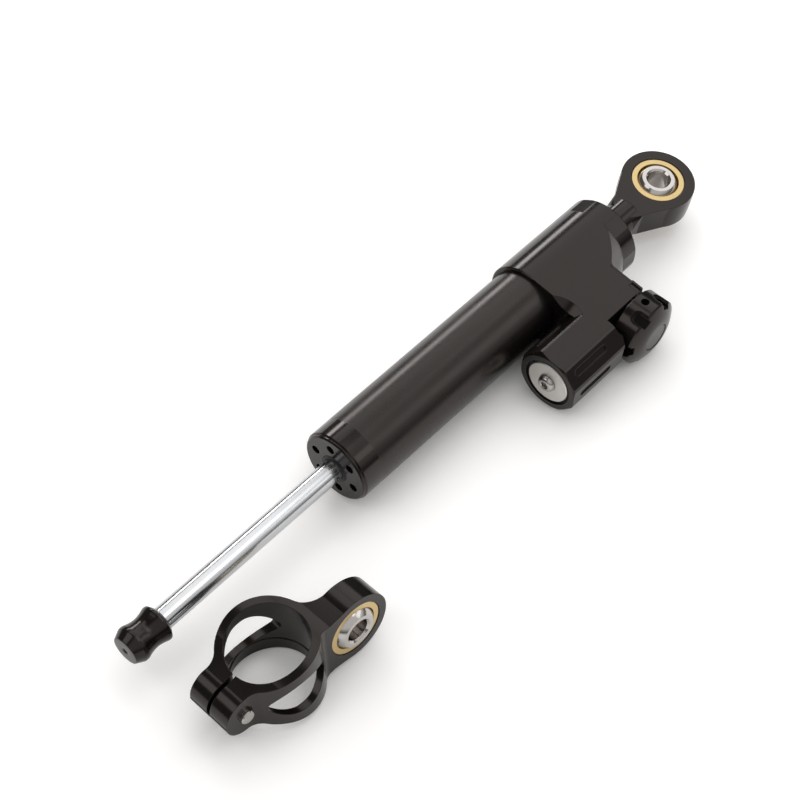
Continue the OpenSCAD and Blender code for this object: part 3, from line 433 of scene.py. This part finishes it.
def lathe(profile, centre, count=128):
    """Turns a profile of (radius, x) points about an axis along X through the centre."""
    angle = np.linspace(0, 2 * np.pi, count, endpoint=False)
    reach, along = np.asarray(profile, float).T
    ring = np.stack([np.zeros(count), np.sin(angle), np.cos(angle)], axis=-1)
    points = np.maximum(reach, 1e-6)[:, None, None] * ring[None]
    points[..., 0] += along[:, None]
    return points + np.array([0, centre[1], centre[2]])


class DAMPER_OT_spool(bpy.types.Operator):
    """Turns the hourglass spool on the rod's front end, with its edges broken"""

    bl_idname = "damper.spool"
    bl_label = "Turn the spool"

    def execute(self, context):
        low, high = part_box("end_spool")
        rod_low, rod_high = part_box("rod")
        fit = 0.02 * MM
        edge = 0.22 * MM
        front_taper, back_taper = 3 * MM, 1.1 * MM
        front_land, back_land = 4.2 * MM, 2 * MM
        waist_depth = 0.9 * MM
        dimple_floor, dimple_mouth, dimple_depth = 0.8 * MM, 1.2 * MM, 0.4 * MM
        front, back, seat = low[0], high[0], rod_low[0]
        rim = (high[1] - low[1]) / 2
        face = 0.77 * rim
        bore = (rod_high[1] - rod_low[1]) / 2 + fit
        # The waist is half a sine wave between the two lands
        waist_from, waist_to = front + front_land, back - back_land
        t = np.linspace(0, 1, 9)[1:-1]
        waist = np.column_stack([
            rim - waist_depth * np.sin(np.pi * t), waist_from + (waist_to - waist_from) * t
        ])
        corners = np.vstack([
            [[0, front + dimple_depth], [dimple_floor, front + dimple_depth], [dimple_mouth, front]],
            [[face, front], [rim, front + front_taper], [rim, waist_from]],
            waist,
            [[rim, waist_to], [rim, back - back_taper], [face, back]],
            [[bore, back], [bore, seat], [0, seat]],
        ])
        points = lathe(round_corners(corners, edge), (0, 0, 0))
        new_piece("end_spool_turned", grid_mesh("end_spool_turned", points), "end_spool")
        return {"FINISHED"}


class DAMPER_OT_bleed_screw(bpy.types.Operator):
    """Makes the button-head bleed screw with its hexagon socket"""

    bl_idname = "damper.bleed_screw"
    bl_label = "Make the bleed screw"

    def execute(self, context):
        low, high = (np.array(corner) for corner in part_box("bleed_screw"))
        centre = (low + high) / 2
        middle = np.array([0, centre[1], centre[2]])
        head_height, shank, shank_taper = 2.1 * MM, 2 * MM, 0.4 * MM
        mouth, socket, socket_depth = 1.75 * MM, 1.25 * MM, 1.6 * MM
        broken, edge = 0.1 * MM, 0.12 * MM
        head = (high[1] - low[1]) / 2
        front, base, tip = low[0], low[0] + head_height, high[0]
        floor = front + socket_depth
        # The dome is an elliptic arc from the socket's mouth to the head's rim
        arc = np.radians(np.linspace(8, 84, 8))
        dome = np.column_stack([
            mouth + (head - mouth) * np.sin(arc), front + (base - front) * 0.85 * (1 - np.cos(arc))
        ])
        corners = np.vstack([
            [[0, floor], [0.6 * socket, floor], [socket, floor - broken], [socket, front + 3 * broken]],
            [[mouth - broken, front]],
            dome,
            [[head, base], [shank, base], [shank, tip - shank_taper]],
            [[shank - shank_taper, tip], [0, tip]],
        ])
        offset = lathe(round_corners(corners, edge, 4), centre, 96) - middle
        # Inside the socket the circle is pushed out to a hexagon that it touches at its flats
        angle = np.arctan2(offset[..., 1], offset[..., 2])
        hexagon = 1 / np.cos((angle + np.pi / 6) % (np.pi / 3) - np.pi / 6)
        reach = np.hypot(offset[..., 1], offset[..., 2])
        inside = (reach < socket * 1.02) & (offset[..., 0] < floor + 2 * broken)
        offset[..., 1:] *= np.where(inside, hexagon, 1.0)[..., None]
        new_piece("bleed_screw_turned", grid_mesh("bleed_screw_turned", offset + middle), "bleed_screw")
        return {"FINISHED"}


def coil_points(start, axis, length, radius, wire, turns):
    """Rows of a coil spring's wire: a helix about an axis with closed end turns.

    The helix rises evenly between its end turns, which lie flat, and each row is a circle of the
    wire's size in the plane through the axis.
    """
    steps_per_turn, wire_sides, flat_turns = 40, 14, 0.8
    axis = np.asarray(axis, float) / np.linalg.norm(axis)
    off_axis = (0.3, 0.5, 0.8)
    side = np.cross(axis, off_axis)
    side /= np.linalg.norm(side)
    up = np.cross(axis, side)
    t = np.linspace(0, 1, int(turns * steps_per_turn))
    lift = np.clip((t * turns - flat_turns) / (turns - 2 * flat_turns), 0, 1)
    turn = 2 * np.pi * turns * t[:, None]
    out = np.cos(turn) * side + np.sin(turn) * up
    middle = start + axis * (wire / 2 + lift * (length - wire))[:, None] + out * (radius - wire / 2)
    around = np.linspace(0, 2 * np.pi, wire_sides, endpoint=False)
    return (
        middle[:, None] + wire / 2 * np.cos(around)[None, :, None] * out[:, None]
        + wire / 2 * np.sin(around)[None, :, None] * axis
    )


class DAMPER_OT_springs(bpy.types.Operator):
    """Winds the side chamber's spring and the detent's spring"""

    bl_idname = "damper.springs"
    bl_label = "Wind the springs"

    def execute(self, context):
        sizes = context.scene.damper_springs
        low, high = (np.array(corner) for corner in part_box("reservoir_spring"))
        start = np.array([low[0], *(low + high)[1:] / 2])
        length = high[0] - low[0]
        points = coil_points(
            start, (1, 0, 0), length, (high[1] - low[1]) / 2, sizes.wire, sizes.turns
        )
        mesh = grid_mesh("reservoir_spring_coil", points)
        spring = new_piece("reservoir_spring_coil", mesh, "reservoir_spring")
        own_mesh(spring)
        low, high = (np.array(corner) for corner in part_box("detent_spring"))
        turn = next(joint for joint in frame["joints"] if joint["name"] == "knob_turn")
        axis = np.array(turn["axis"], float)
        axis /= np.linalg.norm(axis)
        radius = (high[0] - low[0]) / 2
        length = ((high - low)[1] - 2 * radius * abs(axis[2])) / abs(axis[1])
        start = (low + high) / 2 - axis * length / 2
        points = coil_points(start, axis, length, radius, sizes.detent_wire, sizes.detent_turns)
        new_piece("detent_spring_coil", grid_mesh("detent_spring_coil", points), "detent_spring")
        return {"FINISHED"}


# Stage

FLOOR_Z = -15.2 * MM  # underside of the sleeve, on which the damper lies
FLOOR_HALF = 4.0
# Painted light on the floor: its glow in the gloss fades out between these distances from the damper
PAINTED_LIGHT_NEAR, PAINTED_LIGHT_FAR = 0.15, 0.9  # the floor's glow in the gloss fades out between these, in m
# Rays for the floor's painted shadow
PAINTED_SHADOW_SAMPLES = 6
WALL_SIDE, WALL_FULL = 0.0, -0.25  # Y of a direction where the right wall begins and where it is full
WALL_FOOT, WALL_TOP = 0.05, 0.4  # Z of a direction where the right wall begins and where it is full
SENSOR = 36  # mm
NEAR_CLIP = 0.01
LAMP_Z = 0.6
DOWN = (0, 0, -1)
LAMPS = (  # name, place, direction it shines in, roll in degrees, size, radiance
    ("overhead_softbox", (0.53, 0.25, LAMP_Z), DOWN, 0, (0.74, 0.76), 1.25),
    ("near_softbox", (0.0, -0.12, LAMP_Z), DOWN, 0, (0.2, 0.68), 1.4),
    ("left_softbox", (-0.66, 0.34, LAMP_Z), DOWN, 0, (0.5, 0.52), 1.5),
    ("middle_softbox", (0.0, 0.38, LAMP_Z), DOWN, 0, (0.28, 0.32), 1.3),
    ("right_softbox", (0.45, -0.6, LAMP_Z), (-0.3, 0.5, -0.6), 0, (0.6, 0.3), 0.9),
    ("back_softbox", (0.45, 0.9, 0.45), (-0.45, -0.9, -0.4), 25, (0.8, 0.2), 6.5),
)


def softbox(name, centre, facing, roll, size, radiance):
    """A rectangular soft lamp whose power follows from its radiance: pi times its area times that."""
    lamp = bpy.data.lights.new(name, "AREA")
    lamp.shape = "RECTANGLE"
    lamp.size, lamp.size_y = size
    lamp.energy = radiance * math.pi * size[0] * size[1]
    made = bpy.data.objects.new(name, lamp)
    turn = Vector(facing).to_track_quat("-Z", "Y").to_matrix().to_4x4()
    made.matrix_world = Matrix.Translation(centre) @ turn @ Matrix.Rotation(math.radians(roll), 4, "Z")
    bpy.context.scene.collection.objects.link(made)


class DAMPER_OT_stage(bpy.types.Operator):
    """Makes the pale floor, the soft lamps, the white surroundings and the camera"""

    bl_idname = "damper.stage"
    bl_label = "Set the stage"

    def execute(self, context):
        stage = context.scene.damper_stage
        self.make_floor(stage)
        self.make_world(stage)
        for lamp in LAMPS:
            softbox(*lamp)
        self.make_camera(stage)
        context.scene.view_settings.view_transform = "Standard"
        return {"FINISHED"}

    def make_floor(self, stage):
        """Matt white, with a glow that the camera and the gloss see; near the damper a painted pool of
        light that only the gloss sees, and a painted shadow where ambient occlusion dims the glow.
        """
        mesh = bpy.data.meshes.new("floor")
        sides = ((-1, -1), (1, -1), (1, 1), (-1, 1))
        corners = [(x * FLOOR_HALF, y * FLOOR_HALF, FLOOR_Z) for x, y in sides]
        mesh.from_pydata(corners, [], [(0, 1, 2, 3)])
        floor = bpy.data.objects.new("floor", mesh)
        bpy.context.scene.collection.objects.link(floor)
        made, tree = new_material("matt_white_floor")
        matt = add(tree, "ShaderNodeBsdfDiffuse", Color=linear(stage.floor_colour))
        path = add(tree, "ShaderNodeLightPath")
        seen = add(
            tree, "ShaderNodeMath", {"operation": "MULTIPLY"},
            i0=path.outputs["Is Camera Ray"], i1=stage.floor_glow,
        )
        place = add(tree, "ShaderNodeTexCoord").outputs["Object"]
        away = add(tree, "ShaderNodeVectorMath", {"operation": "LENGTH"}, i0=place).outputs["Value"]
        # Painted light: for glossy rays only, the floor glows brighter near the damper, a pool of light
        # painted for the reflections
        painted_light_pool = add(
            tree, "ShaderNodeMapRange", {"interpolation_type": "SMOOTHSTEP"}, Value=away,
            i1=PAINTED_LIGHT_NEAR, i2=PAINTED_LIGHT_FAR, i3=stage.floor_painted_light, i4=0.0,
        )
        mirrored = add(
            tree, "ShaderNodeMath", {"operation": "MULTIPLY_ADD"},
            i0=path.outputs["Is Glossy Ray"], i1=painted_light_pool.outputs[0], i2=seen.outputs[0],
        )
        # Painted shadow: ambient occlusion darkens the floor's glow near and under the damper, for the
        # camera and the gloss alike
        shade = add(
            tree, "ShaderNodeAmbientOcclusion", {"samples": PAINTED_SHADOW_SAMPLES}, Distance=stage.floor_painted_shadow
        ).outputs["AO"]
        glow_in_painted_shadow = add(tree, "ShaderNodeMath", {"operation": "MULTIPLY"}, i0=mirrored.outputs[0], i1=shade)
        glow = add(tree, "ShaderNodeEmission", Strength=glow_in_painted_shadow.outputs[0])
        both = add(tree, "ShaderNodeAddShader", i0=matt.outputs[0], i1=glow.outputs[0])
        add(tree, "ShaderNodeOutputMaterial", Surface=both.outputs[0])
        mesh.materials.append(made)

    def make_world(self, stage):
        """White for the camera, a soft fill as light, and a dim room with one pale wall for the gloss."""
        world = bpy.data.worlds.new("white_studio")
        bpy.context.scene.world = world
        world.use_nodes = True
        tree = world.node_tree
        tree.nodes.clear()
        path = add(tree, "ShaderNodeLightPath")
        place = add(tree, "ShaderNodeTexCoord").outputs["Generated"]
        toward = add(tree, "ShaderNodeSeparateXYZ", i0=place)
        right = add(
            tree, "ShaderNodeMapRange", {"interpolation_type": "SMOOTHSTEP"}, Value=toward.outputs[1],
            i1=WALL_SIDE, i2=WALL_FULL, i3=0.0, i4=1.0,
        )
        high = add(
            tree, "ShaderNodeMapRange", {"interpolation_type": "SMOOTHSTEP"}, Value=toward.outputs[2],
            i1=WALL_FOOT, i2=WALL_TOP, i3=0.0, i4=1.0,
        )
        side = add(
            tree, "ShaderNodeMath", {"operation": "MULTIPLY"}, i0=right.outputs[0], i1=high.outputs[0]
        )
        white = (1, 1, 1, 1)
        walls = add(
            tree, "ShaderNodeMix", {"data_type": "RGBA"}, Factor=side.outputs[0],
            i6=shaded(white, stage.room), i7=shaded(white, stage.right_wall),
        )
        fill = add(
            tree, "ShaderNodeMix", {"data_type": "RGBA"}, Factor=path.outputs["Is Glossy Ray"],
            i6=shaded(white, stage.ambient), i7=walls.outputs[2],
        )
        shown = add(
            tree, "ShaderNodeMix", {"data_type": "RGBA"}, Factor=path.outputs["Is Camera Ray"],
            i6=fill.outputs[2], i7=white,
        )
        sky = add(tree, "ShaderNodeBackground", Color=shown.outputs[2])
        add(tree, "ShaderNodeOutputWorld", Surface=sky.outputs[0])

    def make_camera(self, stage):
        """Level camera at its place, looking along its direction."""
        lens = bpy.data.cameras.new("camera")
        lens.lens = stage.lens
        lens.sensor_width = SENSOR
        lens.clip_start = NEAR_CLIP
        camera = bpy.data.objects.new("camera", lens)
        back = -Vector(stage.camera_view).normalized()
        right = Vector((0, 0, 1)).cross(back).normalized()
        turn = Matrix((right, back.cross(right), back)).transposed()
        camera.matrix_world = Matrix.Translation(stage.camera_at) @ turn.to_4x4()
        bpy.context.scene.collection.objects.link(camera)
        bpy.context.scene.camera = camera


class DAMPER_PT_panel(bpy.types.Panel):
    """Lists the damper's steps"""

    bl_label = "Steering damper"
    bl_idname = "DAMPER_PT_panel"
    bl_space_type = "VIEW_3D"
    bl_region_type = "UI"
    bl_category = "Damper"

    def draw(self, context):
        scene = context.scene
        for step in STEPS:
            self.layout.operator(step.bl_idname)
        for group in (scene.damper_finish, scene.damper_springs, scene.damper_stage):
            for name in group.bl_rna.properties.keys():
                if name not in ("rna_type", "name"):
                    self.layout.prop(group, name)


STEPS = (
    DAMPER_OT_finishes, DAMPER_OT_spool, DAMPER_OT_bleed_screw,
    DAMPER_OT_springs, DAMPER_OT_stage,
)
CLASSES = (DamperFinish, DamperSprings, DamperStage, *STEPS, DAMPER_PT_panel)


def register():
    for cls in CLASSES:
        bpy.utils.register_class(cls)
    bpy.types.Scene.damper_finish = bpy.props.PointerProperty(type=DamperFinish)
    bpy.types.Scene.damper_springs = bpy.props.PointerProperty(type=DamperSprings)
    bpy.types.Scene.damper_stage = bpy.props.PointerProperty(type=DamperStage)


def unregister():
    del bpy.types.Scene.damper_stage
    del bpy.types.Scene.damper_springs
    del bpy.types.Scene.damper_finish
    for cls in reversed(CLASSES):
        bpy.utils.unregister_class(cls)


def main():
    register()
    bpy.ops.damper.finishes()
    bpy.ops.damper.spool()
    bpy.ops.damper.bleed_screw()
    bpy.ops.damper.springs()
    bpy.ops.damper.stage()


if __name__ == "__main__":
    main()
